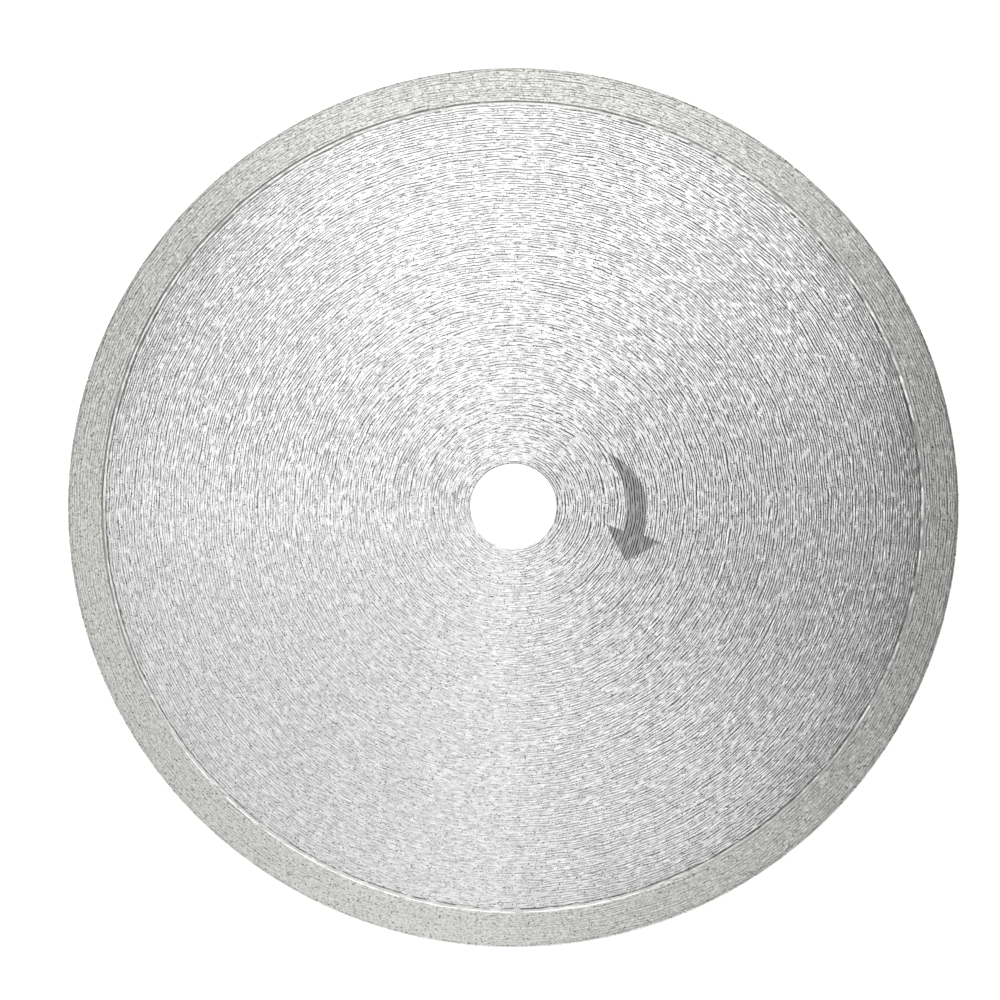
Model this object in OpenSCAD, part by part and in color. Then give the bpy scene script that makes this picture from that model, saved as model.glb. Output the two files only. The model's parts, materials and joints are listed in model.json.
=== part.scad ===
// Continuous-rim diamond blade for cutting tile, stone and glass: a ground steel core,
// a sintered rim that carries the diamond, and the silver braze that joins the two.
// The blade lies flat. Z is the arbor axis, the origin is the bore's centre half way
// through the thickness, and the marked face looks along +Z. Sizes are in millimetres.

/* [Blade] */
// Outer diameter over the rim's bond
blade_d = 230; // [125:1:350]
// Diameter of the bore that slides onto the arbor
bore_d = 22.23; // [15.88:0.01:60]

/* [Steel core] */
// Thickness of the steel core
core_t = 1.8; // [1.2:0.1:3.2]
// Chamfer on each mouth of the bore
bore_chamfer = 0.25; // [0.1:0.05:0.5]

/* [Diamond rim] */
// Height of the rim, from its inner wall to the cutting edge
rim_h = 8.7; // [5:0.1:15]
// How far the rim stands proud of the core on each side
side_clearance = 0.3; // [0.2:0.05:0.6]
// Break on the rim's two outer corners
edge_break = 0.15; // [0.05:0.05:0.3]

/* [Braze joint] */
// Thickness of the braze film between the core's edge and the rim
braze_film = 0.12; // [0.05:0.01:0.3]
// Width of the sloping seat that holds the braze, on each side of the core's edge
seat_w = 1.1; // [0.5:0.1:2.5]
// Depth of that seat where it meets the core's edge
seat_d = 0.15; // [0.05:0.01:0.4]
// Height of the braze up the rim's inner wall, over the core's face
fillet_h = 0.2; // [0.05:0.01:0.2]

/* [Diamond grit] */
// Width of the largest crystal across its corners
grit_w = 0.6; // [0.3:0.05:0.8]
// Number of crystals that show on each side of the rim
side_grit_n = 180; // [24:1:240]
// Number of crystals that show along the cutting edge
edge_grit_n = 240; // [24:1:300]
// How far the largest crystals stand out of the cutting edge
grit_stand = 0.12; // [0.05:0.01:0.2]

/* [Hidden] */

// Radii and heights that follow from the sizes above
blade_r = blade_d / 2;
bore_r = bore_d / 2;
rim_inner_r = blade_r - rim_h;
core_r = rim_inner_r - braze_film;
core_face_z = core_t / 2;
rim_face_z = core_face_z + side_clearance;

// Bond left between a crystal and the nearest corner, wall or crystal of another face
grit_gap = 0.15;
// Where the largest crystals may sit: radii on the sides, height on the edge
side_grit_r_min = rim_inner_r + grit_gap + grit_w / 2;
side_grit_r_max = blade_r - grit_w - grit_gap - grit_w / 2;
edge_grit_z_max = rim_face_z - edge_break - grit_gap - grit_w / 2;
// The smallest crystal, as a share of the largest
smallest_grit_share = 0.55;
// How far a crystal strays from even spacing, as a share of the spacing
grit_stray_share = 0.6;
// Steps of this share of the span never line up, so the crystals spread evenly over it
golden_share = 0.618034;
// Seeds that give each face its own scatter
upper_seed = 11;
lower_seed = 23;
edge_seed = 37;

// Surface of the braze: points along it, the share of the seat it leaves open, and how
// late it turns up towards the rim
braze_steps = 8;
braze_sink_share = 0.6;
braze_rise = 3;

$fn = 180;

// One crystal is [angle, place across the face from 0 to 1, turn, width]
function scatter(n, seed) =
    let (stray = rands(-0.5, 0.5, n, seed))
    let (turn = rands(0, 90, n, seed + 1))
    let (share = rands(smallest_grit_share, 1, n, seed + 2))
    [for (i = [0:n - 1])
        [(i + grit_stray_share * stray[i]) * 360 / n, (i * golden_share) % 1, turn[i], grit_w * share[i]]];

upper_crystals = scatter(side_grit_n, upper_seed);
lower_crystals = scatter(side_grit_n, lower_seed);
edge_crystals = scatter(edge_grit_n, edge_seed);

// Two square axes, turned in their own plane
function swivelled(first, second, turn) =
    [first * cos(turn) + second * sin(turn), second * cos(turn) - first * sin(turn)];

// A crystal's frame is [centre, outward axis, first side axis, second side axis]. This one
// is for a flat side of the rim, where up is 1 for the upper side and -1 for the lower
function side_frame(crystal, up) =
    let (angle = crystal[0])
    let (r = side_grit_r_min + crystal[1] * (side_grit_r_max - side_grit_r_min))
    let (radial = [cos(angle), sin(angle), 0])
    let (around = [-sin(angle), cos(angle), 0])
    concat([r * radial + [0, 0, up * rim_face_z], [0, 0, up]], swivelled(radial, around * up, crystal[2]));

// A crystal on the cutting edge, with one corner out of the bond
function edge_frame(crystal) =
    let (angle = crystal[0])
    let (z = (2 * crystal[1] - 1) * edge_grit_z_max)
    let (stand = grit_stand * crystal[3] / grit_w)
    let (radial = [cos(angle), sin(angle), 0])
    let (around = [-sin(angle), cos(angle), 0])
    concat([(blade_r + stand - crystal[3] / 2) * radial + [0, 0, z], radial],
        swivelled(around, [0, 0, 1], crystal[2]));

// Corners of an eight-sided crystal: four round its waist, then the inner and outer points
function crystal_corners(frame, w) =
    [for (way = [frame[2], frame[3], -frame[2], -frame[3], -frame[1], frame[1]])
        frame[0] + way * w / 2];

// Faces of a whole crystal, and of one ground off flush at its waist
whole_faces = [for (i = [0:3]) each [[i, (i + 1) % 4, 4], [(i + 1) % 4, i, 5]]];
flush_faces = concat([for (i = [0:3]) [i, (i + 1) % 4, 4]], [[3, 2, 1, 0]]);

// All the crystals of one face of the rim, as separate closed solids
module crystals(frames, scattered, faces, corners) {
    count = len(scattered);
    points = [for (i = [0:count - 1])
        each [for (k = [0:corners - 1]) crystal_corners(frames[i], scattered[i][3])[k]]];
    polyhedron(points, [for (i = [0:count - 1]) for (face = faces) [for (k = face) k + corners * i]]);
}

module whole_crystals(frames, scattered) {
    crystals(frames, scattered, whole_faces, 6);
}

module flush_crystals(frames, scattered) {
    crystals(frames, scattered, flush_faces, 5);
}

upper_frames = [for (crystal = upper_crystals) side_frame(crystal, 1)];
lower_frames = [for (crystal = lower_crystals) side_frame(crystal, -1)];
edge_frames = [for (crystal = edge_crystals) edge_frame(crystal)];

// Right half of a section that is the same above and below the blade's middle plane
module turned_ring(upper_half) {
    lower_half = [for (i = [len(upper_half) - 1:-1:0]) [upper_half[i][0], -upper_half[i][1]]];
    rotate_extrude() polygon(concat(upper_half, lower_half));
}

module steel_core() {
    color([0.78, 0.79, 0.80])
        turned_ring([
            [bore_r, core_face_z - bore_chamfer],
            [bore_r + bore_chamfer, core_face_z],
            [core_r - seat_w, core_face_z],
            [core_r, core_face_z - seat_d]
        ]);
}

// The film between core and rim, with a hollow meniscus over each seat of the core
module braze_ring() {
    reach = seat_w + braze_film;
    meniscus = [for (i = [1:braze_steps])
        let (share = i / braze_steps)
        let (sunk = braze_sink_share * seat_d * share * (1 - share))
        [core_r - seat_w + share * reach, core_face_z - sunk + fillet_h * pow(share, braze_rise)]];
    color([0.90, 0.90, 0.88])
        turned_ring(concat([[core_r, core_face_z - seat_d], [core_r - seat_w, core_face_z]], meniscus));
}

// The sintered bond, with a pocket for every crystal
module diamond_rim() {
    color([0.72, 0.71, 0.66])
        difference() {
            turned_ring([
                [rim_inner_r, rim_face_z],
                [blade_r - edge_break, rim_face_z],
                [blade_r, rim_face_z - edge_break]
            ]);
            whole_crystals(upper_frames, upper_crystals);
            whole_crystals(lower_frames, lower_crystals);
            whole_crystals(edge_frames, edge_crystals);
        }
}

module upper_grit() {
    color([0.25, 0.25, 0.22]) flush_crystals(upper_frames, upper_crystals);
}

module lower_grit() {
    color([0.25, 0.25, 0.22]) flush_crystals(lower_frames, lower_crystals);
}

module edge_grit() {
    color([0.25, 0.25, 0.22]) whole_crystals(edge_frames, edge_crystals);
}

steel_core();
braze_ring();
diamond_rim();
upper_grit();
lower_grit();
edge_grit();
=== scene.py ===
"""A continuous-rim diamond blade in its real finishes.

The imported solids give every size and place. The pieces are rebuilt here with what their
surfaces show: circular grinding on the steel, the uneven line of braze, the ground sintered
bond with its diamond, and the printed direction arrow.
"""

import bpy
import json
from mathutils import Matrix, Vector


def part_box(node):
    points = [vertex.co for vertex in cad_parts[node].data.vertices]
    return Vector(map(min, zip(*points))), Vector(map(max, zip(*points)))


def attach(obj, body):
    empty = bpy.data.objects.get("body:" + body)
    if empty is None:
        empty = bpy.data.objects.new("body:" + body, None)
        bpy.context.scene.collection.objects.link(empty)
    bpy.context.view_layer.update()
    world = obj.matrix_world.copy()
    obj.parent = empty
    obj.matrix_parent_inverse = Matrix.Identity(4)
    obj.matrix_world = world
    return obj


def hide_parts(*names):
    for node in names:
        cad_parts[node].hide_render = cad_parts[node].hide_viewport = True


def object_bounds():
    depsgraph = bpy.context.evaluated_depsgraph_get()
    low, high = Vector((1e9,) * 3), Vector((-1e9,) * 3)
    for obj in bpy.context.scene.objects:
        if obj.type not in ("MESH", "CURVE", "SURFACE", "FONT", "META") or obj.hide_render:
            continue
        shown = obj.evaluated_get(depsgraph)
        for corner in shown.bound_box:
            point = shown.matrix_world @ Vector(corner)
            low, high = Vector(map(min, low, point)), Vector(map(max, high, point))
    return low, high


bl_info = {
    "name": "Continuous-rim diamond blade",
    "version": (1, 0, 0),
    "blender": (4, 5, 0),
    "location": "View3D > Sidebar > Blade",
    "description": "Builds a ground steel cutting blade with a brazed diamond rim",
    "category": "Add Mesh",
}

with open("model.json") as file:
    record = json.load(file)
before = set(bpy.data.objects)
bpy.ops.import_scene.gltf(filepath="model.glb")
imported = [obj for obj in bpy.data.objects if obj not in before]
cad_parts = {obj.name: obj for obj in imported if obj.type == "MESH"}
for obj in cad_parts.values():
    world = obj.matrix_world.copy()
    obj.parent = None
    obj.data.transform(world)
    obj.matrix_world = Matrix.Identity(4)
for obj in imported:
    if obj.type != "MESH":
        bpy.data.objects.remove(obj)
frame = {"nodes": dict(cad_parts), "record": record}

import json
import math
import random

import bmesh
import bpy
from bpy.props import FloatProperty, FloatVectorProperty, IntProperty, PointerProperty
from mathutils import Vector, noise

MM = 0.001
BODY = "root"

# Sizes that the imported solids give, in metres
CAD_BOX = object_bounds()
BLADE_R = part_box("diamond_rim")[1].x
RIM_FACE_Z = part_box("diamond_rim")[1].z
RIM_INNER_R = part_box("braze_ring")[1].x
BRAZE_TOP_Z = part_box("braze_ring")[1].z
CORE_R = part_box("steel_core")[1].x
CORE_FACE_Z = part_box("steel_core")[1].z
ARBOR = next(m for m in frame["record"]["mounts"] if m["name"] == "arbor_bore")
BORE_R = ARBOR["dims"]["r_mm"] * MM
BORE_WALL_Z = ARBOR["dims"]["length_mm"] * MM / 2
BORE_CHAMFER = CORE_FACE_Z - BORE_WALL_Z

# Steps round each turned ring, and the angle from which its edges stay sharp
RING_STEPS = 1440
SHARP_ANGLE = math.radians(18)
# Section of the core's lip: shares of its width outward and of its drop downward
LIP_SECTION = ((0, 0.05), (0.2, 0.2), (1, 1))
# Section of the braze's fillet: shares of its width outward and of its climb up the rim's wall
FILLET_SECTION = ((0, 0), (0.15, 0.06), (0.3, 0.17), (0.85, 0.62), (0.95, 0.8), (1, 1))

# Slope of the deepest scratches in the ground steel and in the bond
STEEL_SLOPE, BOND_SLOPE = 0.44, 0.29
# Most of a noise texture lies between these two of its values
NOISE_LOW, NOISE_HIGH = 0.3, 0.7
# Sockets of a Mix node that blends colours: its share, its two colours and its result
MIX_SHARE, MIX_FIRST, MIX_SECOND = 0, 6, 7
MIX_RESULT = 2

# Lamps that hang over the blade: name, middle, width, depth and brightness. Where they overlap
# they hang at different heights, because lamps in one plane hide each other
OVERHEAD_LAMPS = (
    ("overhead_left", (-0.25, -0.165, 0.42), 0.5, 0.57, 0.52),
    ("overhead_back_left", (-0.225, 0.52, 0.42), 0.55, 0.8, 0.22),
    ("overhead_front", (0.025, -0.225, 0.41), 0.32, 0.45, 0.34),
    ("overhead_front_narrow", (0.02, -0.2, 0.4), 0.07, 0.5, 0.24),
    ("overhead_right", (0.33, -0.195, 0.42), 0.54, 0.51, 0.06),
    ("overhead_centre", (0.042, -0.012, 0.39), 0.08, 0.085, 0.56),
    ("overhead_back", (-0.005, 0.15, 0.38), 0.28, 0.3, 0.37),
    ("overhead_back_middle", (0.002, 0.15, 0.37), 0.2, 0.2, 0.52),
    ("overhead_back_heart", (0.025, 0.16, 0.36), 0.17, 0.13, 0.45),
)


def linear(code):
    """An sRGB hex colour as linear red, green and blue."""
    shares = [int(code[i : i + 2], 16) / 255 for i in (1, 3, 5)]
    return tuple(s / 12.92 if s <= 0.04045 else ((s + 0.055) / 1.055) ** 2.4 for s in shares)


def length_field(name, words, default):
    """A size that a user may change, in metres."""
    return FloatProperty(name=name, description=words, default=default, min=0, precision=5, unit="LENGTH")


def colour_field(name, words, code):
    """A colour that a user may change."""
    return FloatVectorProperty(
        name=name, description=words, default=linear(code), size=3, min=0, max=1, subtype="COLOR"
    )


class BladeSizes(bpy.types.PropertyGroup):
    """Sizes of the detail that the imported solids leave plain."""

    seat_w: length_field("Braze band", "Width of the braze that shows beside the rim", 1.25 * MM)
    fillet_w: length_field("Braze fillet", "Width of the braze that climbs the rim's wall", 0.42 * MM)
    lip_wander: length_field("Lip wander", "How far the core's edge strays beside the braze", 0.25 * MM)
    lip_drop: length_field("Lip drop", "Deepest step from the core's face down to the braze", 0.22 * MM)
    lip_w: length_field("Lip width", "Width of that step", 0.36 * MM)
    nick_d: length_field("Nick depth", "Depth of the deepest nicks in the cutting edge", 0.30 * MM)
    nicks: IntProperty(name="Nicks", description="Nicks round each corner of the edge", default=46, min=0)
    grit_stand: length_field("Grit stand", "How far fine and side crystals stand out", 0.015 * MM)
    fine_grit_w: length_field("Fine grit", "Width of the largest fine crystals", 0.44 * MM)
    side_fine_grit: IntProperty(
        name="Side fine grit", description="Fine crystals on each side", default=800, min=0
    )
    edge_fine_grit: IntProperty(
        name="Edge fine grit", description="Fine crystals on the edge", default=900, min=0
    )
    ink_t: length_field("Ink", "Thickness of the printed arrow", 0.012 * MM)


class BladeFinishes(bpy.types.PropertyGroup):
    """Colours of the finishes."""

    steel: colour_field("Ground steel", "Bright ground steel", "#EFEFEF")
    steel_worn: colour_field("Worn strokes", "Steel in the duller strokes", "#D2D2D2")
    # Painted shade: the dark of the pits, and of the strokes under the printed arrow
    pit_and_stroke_shade: colour_field("Pits", "Steel in the pits between the strokes", "#6A6A6A")
    bond: colour_field("Sintered bond", "Ground face of the sintered bond", "#E1E1DE")
    bond_worn: colour_field("Worn bond", "Duller grains of the bond", "#CCCBC8")
    # The bond's dark grains have this colour of their own; in its pores it is painted shade
    bond_dark: colour_field("Bond pores", "Pores and dark grains in the bond", "#8C8C84")
    braze: colour_field("Silver braze", "Flowed silver braze", "#CFCFCA")
    diamond: colour_field("Diamond", "Synthetic diamond grit", "#45443A")
    ink: colour_field("Arrow ink", "Printed direction arrow", "#A0A0A0")
    floor: colour_field("Floor", "Pale floor under the blade", "#F4F4F4")


class BladeStage(bpy.types.PropertyGroup):
    """The camera's place and view."""

    elevation: FloatProperty(
        name="Elevation",
        description="Camera's angle above the floor",
        default=math.radians(80.43),
        subtype="ANGLE",
    )
    lens: FloatProperty(name="Lens", description="Focal length in millimetres", default=1000)
    picture_w: length_field("Picture width", "Real width across the picture at the blade", 258.2 * MM)
    aim_x: FloatProperty(
        name="Aim across", description="Picture's centre, to the right", default=-3.44 * MM
    )
    aim_y: FloatProperty(name="Aim up", description="Picture's centre, upward", default=1.66 * MM)


def add(tree, kind, inputs=(), output=0, **settings):
    """Adds a node and gives one of its outputs. Inputs are values or other nodes' outputs, in the
    node's order or by name."""
    node = tree.nodes.new("ShaderNode" + kind)
    for name, value in settings.items():
        setattr(node, name, value)
    for key, value in inputs.items() if isinstance(inputs, dict) else enumerate(inputs):
        socket = node.inputs[key]
        if isinstance(value, bpy.types.NodeSocket):
            tree.links.new(value, socket)
        else:
            socket.default_value = (*value, 1) if socket.type == "RGBA" else value
    return node.outputs[output]


def new_material(name, build):
    """A material whose surface is the shader that build adds to its tree."""
    material = bpy.data.materials.new(name)
    material.use_nodes = True
    tree = material.node_tree
    tree.nodes.clear()
    output = tree.nodes.new("ShaderNodeOutputMaterial")
    tree.links.new(build(tree), output.inputs["Surface"])
    return material


def place(tree):
    """The point on the blade, its distance from the arbor axis and the way outward from that axis."""
    point = add(tree, "TexCoord", output="Object")
    flat = add(tree, "VectorMath", (point, (1, 1, 0)), operation="MULTIPLY")
    radius = add(tree, "VectorMath", (flat,), "Value", operation="LENGTH")
    outward = add(tree, "VectorMath", (flat,), operation="NORMALIZE")
    return point, radius, outward


def strokes(tree, point, radius, length, width, seed):
    """Noise from 0 to 1, drawn out into arcs round the arbor axis of this length and width."""
    along = add(tree, "VectorMath", {0: point, "Scale": 1 / length}, operation="SCALE")
    across = add(tree, "Math", (radius, 1 / width, seed), operation="MULTIPLY_ADD")
    lift = add(tree, "CombineXYZ", {"Z": across})
    domain = add(tree, "VectorMath", (along, lift), operation="ADD")
    return add(tree, "TexNoise", {"Vector": domain, "Scale": 1, "Detail": 0})


def scratches(tree, point, radius, length, pitch, sparse, seed):
    """Thin arcs round the arbor axis, about one pitch apart: 1 along their middle, 0 between them.
    They stray from true circles and fade in and out along their length. The higher sparse is, the
    more of them fade out."""
    # How far the lines shift along their length and from ring to ring, in radians of their wave
    stray_shift, uneven_shift = 8.0, 6.0
    # Shifts from ring to ring in each radian of the wave
    uneven_scale = 0.06
    # A line starts at the first height of the wave and is full from the second
    line_start, line_full = 0.1, 0.7
    # A line is faded out this far below sparse, and full this far above it
    fade_below, fade_above = 0.08, 0.32
    # How long a stray is, and how long and wide a fade is, beside a line
    stray_times, fade_share = 2, 0.7

    spot = add(tree, "VectorMath", {0: point, "Scale": 1 / (stray_times * length)}, operation="SCALE")
    stray = add(tree, "TexNoise", {"Vector": spot, "Scale": 1, "Detail": 0})
    ring = add(tree, "Math", (radius, math.tau / pitch, seed), operation="MULTIPLY_ADD")
    uneven = add(tree, "TexNoise", {"W": ring, "Scale": uneven_scale, "Detail": 0}, noise_dimensions="1D")
    shifted = add(tree, "Math", (uneven, uneven_shift, ring), operation="MULTIPLY_ADD")
    phase = add(tree, "Math", (stray, stray_shift, shifted), operation="MULTIPLY_ADD")
    wave = add(tree, "Math", (phase,), operation="SINE")
    line = add(tree, "MapRange", (wave, line_start, line_full))
    fade = strokes(tree, point, radius, fade_share * length, fade_share * pitch, seed + 11)
    kept = add(tree, "MapRange", (fade, sparse - fade_below, sparse + fade_above))
    return add(tree, "Math", (line, kept), operation="MULTIPLY")


def grinding(tree, point, radius, slope):
    """How far a face ground on a turning table leans outward: scratches whose steep flank looks
    outward, and gentler ones that look inward. Real scratches are under 0.1 mm wide, too fine to
    show, so they are drawn several times as coarse."""
    inward_share = 0.36
    outer = scratches(tree, point, radius, length=3.2 * MM, pitch=0.64 * MM, sparse=0.34, seed=0)
    inner = scratches(tree, point, radius, length=2.6 * MM, pitch=0.57 * MM, sparse=0.4, seed=31)
    outward_lean = add(tree, "Math", (outer, slope), operation="MULTIPLY")
    return add(tree, "Math", (inner, -inward_share * slope, outward_lean), operation="MULTIPLY_ADD")


def blended(tree, pattern, first_at, second_at, first, second):
    """The first colour where the pattern has one value, going over to the second at another."""
    share = add(tree, "MapRange", (pattern, first_at, second_at))
    inputs = {MIX_SHARE: share, MIX_FIRST: first, MIX_SECOND: second}
    return add(tree, "Mix", inputs, MIX_RESULT, data_type="RGBA")


def leaning_normal(tree, outward, lean):
    """The surface's normal, leaning outward by this much."""
    normal = add(tree, "NewGeometry", output="Normal")
    push = add(tree, "VectorMath", {0: outward, "Scale": lean}, operation="SCALE")
    leaning = add(tree, "VectorMath", (normal, push), operation="ADD")
    return add(tree, "VectorMath", (leaning,), operation="NORMALIZE")


def ground_steel(finishes):
    """Tool steel, ground flat on a turning table. The wheel leaves thin arcs round the bore that
    lean outward or inward, so bright and dark strokes lie side by side and the light fans out in
    lobes across the plate. Between them are duller strokes and small pits whose darkness is painted
    shade, drawn some tenths of a millimetre wide because real ones are too fine to show."""
    pit_brim, pit_bottom = 0.345, 0.255
    smooth, rough = 0.17, 0.21

    def build(tree):
        point, radius, outward = place(tree)
        lean = grinding(tree, point, radius, STEEL_SLOPE)
        tones = strokes(tree, point, radius, length=1.8 * MM, width=0.45 * MM, seed=83)
        ground = blended(tree, tones, NOISE_LOW, NOISE_HIGH, finishes.steel, finishes.steel_worn)
        # Painted shade: the pits are coloured dark for the shade in them, not as darker steel
        pits = strokes(tree, point, radius, length=0.42 * MM, width=0.36 * MM, seed=57)
        return add(
            tree,
            "BsdfPrincipled",
            {
                "Base Color": blended(tree, pits, pit_brim, pit_bottom, ground, finishes.pit_and_stroke_shade),
                "Metallic": 1.0,
                "Roughness": add(tree, "MapRange", (tones, NOISE_LOW, NOISE_HIGH, smooth, rough)),
                "Anisotropic": 0.4,
                "Anisotropic Rotation": 0.25,
                "Normal": leaning_normal(tree, outward, lean),
                "Tangent": add(tree, "Tangent", direction_type="RADIAL", axis="Z"),
            },
        )

    return new_material("ground_tool_steel", build)


def sintered_bond(finishes):
    """Bronze and iron powder pressed and sintered, then dressed on a grinding wheel: a yellowish
    grey metal, duller than steel, with fine grinding lines, dark grains and pores. The grains are
    dark in their own colour, while the pores' dark is painted shade. Real grains and pores are too
    fine to show, so they are drawn about half a millimetre wide."""
    bright_grain, dull_grain = 0.35, 0.7
    pore_brim, pore_bottom = 0.34, 0.24
    smooth, rough = 0.26, 0.32

    def build(tree):
        point, radius, outward = place(tree)
        lean = grinding(tree, point, radius, BOND_SLOPE)
        grains = strokes(tree, point, radius, length=0.7 * MM, width=0.55 * MM, seed=53)
        ground = blended(tree, grains, bright_grain, dull_grain, finishes.bond, finishes.bond_worn)
        # Painted shade: the pores are coloured dark for the shade in them, and dark grains share that
        # colour
        pores = strokes(tree, point, radius, length=0.6 * MM, width=0.5 * MM, seed=91)
        return add(
            tree,
            "BsdfPrincipled",
            {
                "Base Color": blended(tree, pores, pore_brim, pore_bottom, ground, finishes.bond_dark),
                "Metallic": 1.0,
                "Roughness": add(tree, "MapRange", (grains, NOISE_LOW, NOISE_HIGH, smooth, rough)),
                "Anisotropic": 0.6,
                "Anisotropic Rotation": 0.25,
                "Normal": leaning_normal(tree, outward, lean),
                "Tangent": add(tree, "Tangent", direction_type="RADIAL", axis="Z"),
            },
        )

    return new_material("ground_sintered_bond", build)


def silver_braze(finishes):
    """Silver solder that has flowed and set: white metal, smooth, with slow ripples."""
    ripple_low, ripple_high = 0.2, 0.8
    ripple_lean = 0.12
    smooth, rough = 0.22, 0.32

    def build(tree):
        point, radius, outward = place(tree)
        ripples = strokes(tree, point, radius, length=3 * MM, width=1.2 * MM, seed=17)
        lean = add(tree, "MapRange", (ripples, ripple_low, ripple_high, -ripple_lean, ripple_lean))
        return add(
            tree,
            "BsdfPrincipled",
            {
                "Base Color": blended(tree, ripples, 0, 1, finishes.braze, finishes.steel),
                "Metallic": 1.0,
                "Roughness": add(tree, "MapRange", (ripples, NOISE_LOW, NOISE_HIGH, smooth, rough)),
                "Normal": leaning_normal(tree, outward, lean),
            },
        )

    return new_material("flowed_silver_braze", build)


def diamond_grit(finishes):
    """Synthetic diamond, grown as blocky crystals: yellow-grey, dark where it looks into the bond,
    with bright glints off its faces."""
    dark_crystal, pale_crystal = 0.5, 0.8
    smooth, rough = 0.12, 0.3

    def build(tree):
        point, radius, _ = place(tree)
        shade = strokes(tree, point, radius, length=1.5 * MM, width=1.5 * MM, seed=71)
        colour = blended(tree, shade, dark_crystal, pale_crystal, finishes.diamond, finishes.bond_dark)
        return add(
            tree,
            "BsdfPrincipled",
            {
                "Base Color": colour,
                "Roughness": add(tree, "MapRange", (shade, NOISE_LOW, NOISE_HIGH, smooth, rough)),
                "IOR": 2.42,
            },
        )

    return new_material("synthetic_diamond", build)


def printed_ink(finishes):
    """Grey screen ink, so thin on the ground plate that it keeps the steel's sheen and the strokes
    beneath show through it; where they lean, the ink is darkened into lines of painted shade."""
    # Leans of the strokes at which the painted shade starts and is full
    shallow, deep = 0.02, 0.2

    def build(tree):
        point, radius, outward = place(tree)
        lean = grinding(tree, point, radius, STEEL_SLOPE)
        return add(
            tree,
            "BsdfPrincipled",
            {
                # Painted shade: the ink goes over to the pit shade colour along the leaning strokes
                "Base Color": blended(tree, lean, shallow, deep, finishes.ink, finishes.pit_and_stroke_shade),
                "Metallic": 1.0,
                "Roughness": 0.26,
                "Normal": leaning_normal(tree, outward, lean),
            },
        )

    return new_material("screen_printed_ink", build)


def pale_floor(finishes):
    """Matt white board, lit through from below so that it stays pale in every view."""

    def build(tree):
        return add(
            tree,
            "BsdfPrincipled",
            {
                "Base Color": finishes.floor,
                "Roughness": 0.9,
                "Emission Color": (1, 1, 1),
                "Emission Strength": 0.8,
            },
        )

    return new_material("matt_white_board", build)


def wander(angle, swings, seed):
    """A smooth stray from -1 to 1 that closes on itself, with about this many swings a turn."""
    reach = swings / math.tau
    return noise.noise(Vector((reach * math.cos(angle), reach * math.sin(angle), seed)))


def show(name, mesh, material, slot, *nodes):
    """Puts a mesh in the scene as a piece that rides on the blade."""
    mesh.materials.append(material)
    piece = bpy.data.objects.new(name, mesh)
    bpy.context.scene.collection.objects.link(piece)
    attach(piece, BODY)
    if nodes:
        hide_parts(*nodes)


def lathed(name, section):
    """A closed ring from its section at each angle: (radius, height) points in order round it."""
    count = len(section(0))
    points = []
    for i in range(RING_STEPS):
        angle = math.tau * i / RING_STEPS
        points += [(r * math.cos(angle), r * math.sin(angle), z) for r, z in section(angle)]
    faces = []
    for i in range(RING_STEPS):
        here = i * count
        there = (i + 1) % RING_STEPS * count
        for k in range(count):
            after = (k + 1) % count
            faces.append((here + k, here + after, there + after, there + k))
    mesh = bpy.data.meshes.new(name)
    mesh.from_pydata(points, [], faces)
    shape = bmesh.new()
    shape.from_mesh(mesh)
    bmesh.ops.recalc_face_normals(shape, faces=shape.faces)
    shape.to_mesh(mesh)
    shape.free()
    mesh.shade_smooth()
    mesh.set_sharp_from_angle(angle=SHARP_ANGLE)
    return mesh


def both_sides(upper):
    """The upper half of a section, and its mirror image below."""
    return upper + [(r, -z) for r, z in reversed(upper)]


def lip(angle, sizes):
    """Radius of the core's edge beside the braze and the step down from it, at this angle."""
    # Depths of the step beside the deepest. Both the edge and the step have slow and quick swings
    shallowest, usual = 0.15, 0.95
    stray = 0.6 * wander(angle, swings=70, seed=3.1) + 0.5 * wander(angle, swings=260, seed=8.7)
    drop = usual + 0.9 * wander(angle, swings=130, seed=12.9) + 0.6 * wander(angle, swings=420, seed=6.3)
    edge_r = RIM_INNER_R - sizes.seat_w + sizes.lip_wander * stray
    return edge_r, sizes.lip_drop * min(1, max(shallowest, drop))


class BLADE_OT_steel_core(bpy.types.Operator):
    """The ground steel plate with its chamfered bore and uneven outer lip"""

    bl_idname = "blade.steel_core"
    bl_label = "Steel core"

    def execute(self, context):
        sizes = context.scene.blade_sizes
        face_r = BORE_R + BORE_CHAMFER
        # Rings across the wide face, which keep its shading even
        rings = 10
        # How far the core's edge lies below the foot of the lip
        edge_sink = 0.05 * MM

        def section(angle):
            edge_r, drop = lip(angle, sizes)
            inside_r = edge_r - sizes.lip_w / 2
            upper = [(BORE_R, BORE_WALL_Z)]
            upper += [(face_r + (inside_r - face_r) * i / rings, CORE_FACE_Z) for i in range(rings + 1)]
            upper += [(edge_r + out * sizes.lip_w, CORE_FACE_Z - down * drop) for out, down in LIP_SECTION]
            upper.append((CORE_R, CORE_FACE_Z - drop - edge_sink))
            return both_sides(upper)

        mesh = lathed("steel_core_ground", section)
        steel = ground_steel(context.scene.blade_finishes)
        show("steel_core_ground", mesh, steel, "ground_steel", "steel_core")
        return {"FINISHED"}


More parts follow.
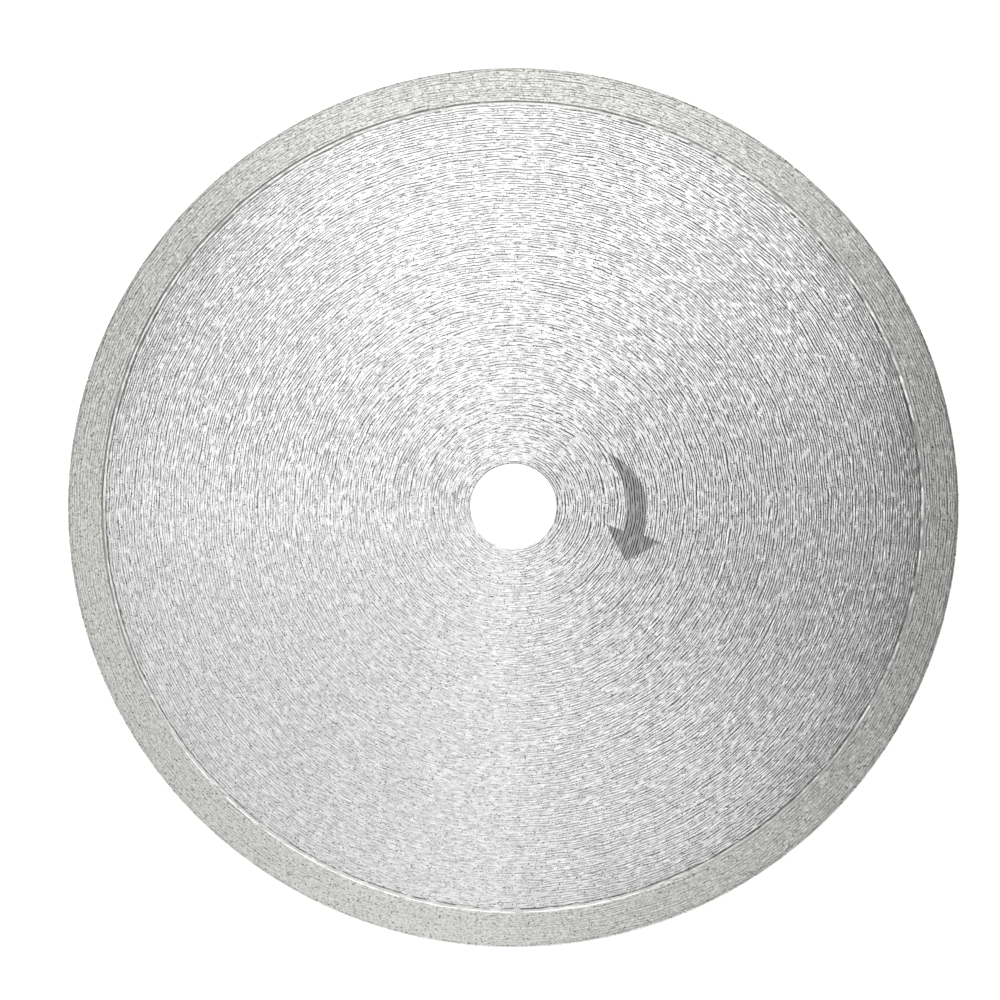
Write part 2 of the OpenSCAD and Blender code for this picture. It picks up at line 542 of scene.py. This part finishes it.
class BLADE_OT_braze_ring(bpy.types.Operator):
    """The silver braze between core and rim, sunk at the core and drawn up the rim's wall"""

    bl_idname = "blade.braze_ring"
    bl_label = "Braze ring"

    def execute(self, context):
        sizes = context.scene.blade_sizes
        # Where the braze starts, as shares of the lip's width and drop
        reach_share, sink_share = 0.6, 0.85
        # How far the fillet's top and width stray
        top_wander, width_wander_share = 0.03 * MM, 0.2

        def section(angle):
            edge_r, drop = lip(angle, sizes)
            low_z = CORE_FACE_Z - sink_share * drop
            rise = BRAZE_TOP_Z + top_wander * wander(angle, swings=120, seed=5.3) - low_z
            stray_share = width_wander_share * wander(angle, swings=180, seed=2.7)
            fillet_r = RIM_INNER_R - sizes.fillet_w * (1 + stray_share)
            upper = [(edge_r + reach_share * sizes.lip_w, low_z)]
            for out, climb in FILLET_SECTION:
                upper.append((fillet_r + (RIM_INNER_R - fillet_r) * out, low_z + rise * climb))
            return both_sides(upper)

        mesh = lathed("braze_ring_flowed", section)
        braze = silver_braze(context.scene.blade_finishes)
        show("braze_ring_flowed", mesh, braze, "silver_braze", "braze_ring")
        return {"FINISHED"}


class BLADE_OT_diamond_rim(bpy.types.Operator):
    """The sintered rim with rounded corners and nicks in its cutting edge"""

    bl_idname = "blade.diamond_rim"
    bl_label = "Diamond rim"

    def execute(self, context):
        sizes = context.scene.blade_sizes
        draw = random.Random(41)
        # Nicks by step and side. Shallow ones are more common, because the share drawn is squared
        least = 0.25
        nicks = {}
        for _ in range(sizes.nicks):
            for side in (1, -1):
                nicks[(draw.randrange(RING_STEPS), side)] = sizes.nick_d * draw.uniform(least, 1) ** 2
        face_z = RIM_FACE_Z - sizes.grit_stand
        # Break of the outer corners, as on the solids, and how far it rounds into the edge's wall
        edge_break, wall_times = 0.15 * MM, 1.8
        # Rounding of the inner corner, and width and depth of the rounding above the break
        corner = 0.04 * MM
        round_w, round_d = 0.08 * MM, 0.02 * MM
        # Roughness of the break
        chip_d = 0.03 * MM
        # How far a nick goes in and down at the break's foot, and into the wall, beside its depth
        foot_in, foot_down, wall_in = 0.3, 0.5, 0.2
        # Rings on the flat face, which keep its shading even beside the corners
        inside_r = RIM_INNER_R + 3 * corner
        middle_r = RIM_INNER_R + 0.5 * (BLADE_R - RIM_INNER_R)
        outside_r = BLADE_R - 1.0 * MM

        def half(angle, side):
            """Section of one side of the rim, from its inner wall to the cutting edge."""
            step = round(angle / math.tau * RING_STEPS) % RING_STEPS
            bite = nicks.get((step, side), 0)
            chip = chip_d * (1 + wander(angle, swings=700, seed=4.4 * side))
            out_r = BLADE_R - edge_break - chip - bite
            return [
                (RIM_INNER_R, face_z - corner),
                (RIM_INNER_R + corner, face_z),
                (inside_r, face_z),
                (middle_r, face_z),
                (outside_r, face_z),
                (out_r - round_w, face_z),
                (out_r, face_z - round_d),
                (BLADE_R - foot_in * bite - round_d, face_z - edge_break - chip - foot_down * bite),
                (BLADE_R - wall_in * bite, face_z - wall_times * edge_break - bite),
            ]

        def section(angle):
            return half(angle, 1) + [(r, -z) for r, z in reversed(half(angle, -1))]

        mesh = lathed("diamond_rim_ground", section)
        bond = sintered_bond(context.scene.blade_finishes)
        show("diamond_rim_ground", mesh, bond, "sintered_bond", "diamond_rim")
        return {"FINISHED"}


class BLADE_OT_diamond_grit(bpy.types.Operator):
    """The crystals of the solids in their real finish, and the finer grit between them"""

    bl_idname = "blade.diamond_grit"
    bl_label = "Diamond grit"

    def execute(self, context):
        sizes = context.scene.blade_sizes
        diamond = diamond_grit(context.scene.blade_finishes)
        for node in ("upper_grit", "lower_grit", "edge_grit"):
            mesh = frame["nodes"][node].data
            mesh.materials.clear()
            mesh.materials.append(diamond)
        draw = random.Random(97)
        points, faces = [], []
        margin = sizes.fine_grit_w
        # The smallest crystal beside the largest, and a crystal's shortest corner beside its longest
        smallest_share, shortest_share = 0.45, 0.7

        def crystal(angle, r, z, outward, along):
            """One blocky crystal ground off level, with its point in the bond."""
            centre = Vector((r * math.cos(angle), r * math.sin(angle), z))
            across = outward.cross(along)
            width = sizes.fine_grit_w * draw.uniform(smallest_share, 1)
            turn = draw.uniform(0, math.tau)
            first = len(points)
            for quarter in range(4):
                way = turn + quarter * math.tau / 4
                reach = width / 2 * draw.uniform(shortest_share, 1)
                points.append(centre + reach * (math.cos(way) * along + math.sin(way) * across))
            points.append(centre - width / 2 * outward)
            faces.append([first + corner for corner in range(4)])
            for corner in range(4):
                faces.append([first + (corner + 1) % 4, first + corner, first + 4])

        for up in (1, -1):
            for _ in range(sizes.side_fine_grit):
                angle = draw.uniform(0, math.tau)
                r = math.sqrt(draw.uniform((RIM_INNER_R + margin) ** 2, (BLADE_R - margin) ** 2))
                crystal(angle, r, up * RIM_FACE_Z, Vector((0, 0, up)), Vector((1, 0, 0)))
        for _ in range(sizes.edge_fine_grit):
            angle = draw.uniform(0, math.tau)
            z = draw.uniform(-1, 1) * (RIM_FACE_Z - margin)
            radial = Vector((math.cos(angle), math.sin(angle), 0))
            crystal(angle, BLADE_R + sizes.grit_stand, z, radial, Vector((0, 0, 1)))
        mesh = bpy.data.meshes.new("fine_grit")
        mesh.from_pydata(points, [], faces)
        show("fine_grit", mesh, diamond, "diamond_crystal")
        return {"FINISHED"}


class BLADE_OT_direction_arrow(bpy.types.Operator):
    """A plain printed arrow beside the bore that shows which way the blade turns"""

    bl_idname = "blade.direction_arrow"
    bl_label = "Direction arrow"

    def execute(self, context):
        sizes = context.scene.blade_sizes
        # Angles of the arrow's tail, of the neck behind its head and of its tip
        tail, neck, tip = math.radians(30.4), math.radians(-12.8), math.radians(-26.6)
        # Radius of its middle line, and half the width of its shaft and of its head
        mid_r, half_w, barb_w = 31.8 * MM, 2.6 * MM, 7.4 * MM
        # The tail's end lies further in and the tip further out, and the barbs are turned a little
        tail_inset, tip_outset, skew = 4.0 * MM, 0.7 * MM, math.radians(1.4)
        # The share of the shaft along which it widens from a point
        widening = 0.7
        steps = 24
        outer, inner = [], []
        for i in range(steps + 1):
            share = i / steps
            angle = tail + (neck - tail) * share
            swell = math.sin(math.pi / 2 * min(1, share / widening))
            centre_r = mid_r - tail_inset * (1 - swell)
            outer.append((centre_r + half_w * swell, angle))
            inner.append((centre_r - half_w * swell, angle))
        head = [(mid_r + barb_w, neck - skew), (mid_r + tip_outset, tip), (mid_r - barb_w, neck + skew)]
        outline = outer + head + inner[:0:-1]
        shape = bmesh.new()
        # The ink is sunk a little into the plate, so that no gap shows under it
        sunk_share = 0.5
        low = CORE_FACE_Z - sunk_share * sizes.ink_t
        corners = [shape.verts.new((r * math.cos(a), r * math.sin(a), low)) for r, a in outline]
        shape.faces.new(corners)
        bmesh.ops.recalc_face_normals(shape, faces=shape.faces)
        lifted = bmesh.ops.extrude_face_region(shape, geom=list(shape.faces))
        up = Vector((0, 0, (1 + sunk_share) * sizes.ink_t))
        top = [part for part in lifted["geom"] if isinstance(part, bmesh.types.BMVert)]
        bmesh.ops.translate(shape, vec=up, verts=top)
        bmesh.ops.triangulate(shape, faces=shape.faces)
        bmesh.ops.recalc_face_normals(shape, faces=shape.faces)
        mesh = bpy.data.meshes.new("direction_arrow")
        shape.to_mesh(mesh)
        shape.free()
        ink = printed_ink(context.scene.blade_finishes)
        show("direction_arrow", mesh, ink, "ground_steel")
        return {"FINISHED"}


def softbox(name, middle, across, deep, brightness, aim=None):
    """A soft rectangular lamp that looks straight down, or at a point."""
    lamp = bpy.data.lights.new(name, "AREA")
    lamp.shape = "RECTANGLE"
    lamp.size = across
    lamp.size_y = deep
    lamp.energy = brightness * math.pi * across * deep
    box = bpy.data.objects.new(name, lamp)
    box.location = middle
    if aim:
        box.rotation_euler = (Vector(aim) - Vector(middle)).to_track_quat("-Z", "Y").to_euler()
    box.visible_camera = False
    bpy.context.scene.collection.objects.link(box)


class BLADE_OT_stage(bpy.types.Operator):
    """Pale floor, soft studio light and the camera"""

    bl_idname = "blade.stage"
    bl_label = "Stage"

    def execute(self, context):
        scene = context.scene
        stage = scene.blade_stage
        # Half the floor's width, enough to fill every view
        far = 4.0
        mesh = bpy.data.meshes.new("floor")
        z = CAD_BOX[0].z
        corners = [(-far, -far, z), (far, -far, z), (far, far, z), (-far, far, z)]
        mesh.from_pydata(corners, [], [(0, 1, 2, 3)])
        mesh.materials.append(pale_floor(scene.blade_finishes))
        floor = bpy.data.objects.new("floor", mesh)
        scene.collection.objects.link(floor)

        # A dim room with a pale band low down: its brightness above one height and below another,
        # where the horizon is 0 and straight up is 1
        dim, pale = 0.1, 0.5
        dim_above, pale_below = 0.53, 0.31
        world = bpy.data.worlds.new("studio")
        world.use_nodes = True
        tree = world.node_tree
        height = add(tree, "SeparateXYZ", (add(tree, "TexCoord"),), "Z")
        glow = add(tree, "MapRange", (height, dim_above, pale_below, dim, pale))
        background = tree.nodes["Background"]
        background.inputs["Color"].default_value = (1, 1, 1, 1)
        tree.links.new(glow, background.inputs["Strength"])
        scene.world = world
        for name, middle, across, deep, brightness in OVERHEAD_LAMPS:
            softbox(name, middle, across, deep, brightness)
        # One more lamp stands low behind the blade and looks at its middle
        softbox("low_back", (0.3, 1.1, 0.27), 1.4, 0.5, 2.0, aim=(0, 0, 0))
        scene.view_settings.view_transform = "Standard"

        lens = bpy.data.cameras.new("camera")
        lens.lens = stage.lens
        distance = stage.picture_w * stage.lens / lens.sensor_width
        lens.clip_end = 3 * distance
        camera = bpy.data.objects.new("camera", lens)
        up, back = math.sin(stage.elevation), math.cos(stage.elevation)
        aim = Vector((stage.aim_x, stage.aim_y * up, stage.aim_y * back))
        away = Vector((0, -back, up))
        camera.location = aim + away * distance
        camera.rotation_euler = (-away).to_track_quat("-Z", "Y").to_euler()
        scene.collection.objects.link(camera)
        scene.camera = camera
        return {"FINISHED"}


class BLADE_PT_pieces(bpy.types.Panel):
    """Lists the pieces of the blade and what can be changed on them"""

    bl_idname = "BLADE_PT_pieces"
    bl_label = "Diamond blade"
    bl_space_type = "VIEW_3D"
    bl_region_type = "UI"
    bl_category = "Blade"

    def draw(self, context):
        for operator in OPERATORS:
            self.layout.operator(operator.bl_idname)
        for name in GROUPS:
            group = getattr(context.scene, name)
            box = self.layout.box()
            for prop in group.bl_rna.properties:
                if not prop.is_readonly and prop.identifier != "name":
                    box.prop(group, prop.identifier)


OPERATORS = (
    BLADE_OT_steel_core,
    BLADE_OT_braze_ring,
    BLADE_OT_diamond_rim,
    BLADE_OT_diamond_grit,
    BLADE_OT_direction_arrow,
    BLADE_OT_stage,
)
GROUPS = {"blade_sizes": BladeSizes, "blade_finishes": BladeFinishes, "blade_stage": BladeStage}


def register():
    for group in GROUPS.values():
        bpy.utils.register_class(group)
    for name, group in GROUPS.items():
        setattr(bpy.types.Scene, name, PointerProperty(type=group))
    for piece in (*OPERATORS, BLADE_PT_pieces):
        bpy.utils.register_class(piece)


def unregister():
    for piece in (BLADE_PT_pieces, *reversed(OPERATORS)):
        bpy.utils.unregister_class(piece)
    for name, group in GROUPS.items():
        delattr(bpy.types.Scene, name)
        bpy.utils.unregister_class(group)


def main():
    register()
    bpy.ops.blade.steel_core()
    bpy.ops.blade.braze_ring()
    bpy.ops.blade.diamond_rim()
    bpy.ops.blade.diamond_grit()
    bpy.ops.blade.direction_arrow()
    bpy.ops.blade.stage()


if __name__ == "__main__":
    main()
